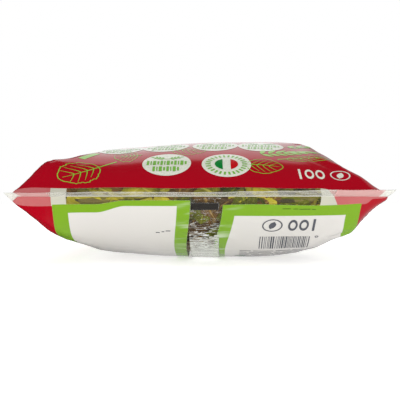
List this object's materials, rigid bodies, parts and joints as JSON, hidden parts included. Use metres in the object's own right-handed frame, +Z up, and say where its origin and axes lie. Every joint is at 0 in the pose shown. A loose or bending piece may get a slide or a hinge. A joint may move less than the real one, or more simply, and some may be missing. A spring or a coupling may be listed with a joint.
{
  "type": "bag of salad leaves",
  "caption": "Sealed pillow bag of washed salad leaves in clear printed film, lying on its back with flat crimped seals at both ends.",
  "frame": {"origin": "on the floor, under the middle of the bag as it lies on its back", "axes": "+X across the bag, +Y along it towards its top seal, +Z up through its front"},
  "size_m": [0.23, 0.2566, 0.0804],
  "materials": {
    "film": "glossy clear film, printed red, green and white on its inside",
    "leaf": "fresh salad leaf, satin"
  },
  "bodies": {
    "root": {"salad_bag": "film"}
  },
  "joints": []
}
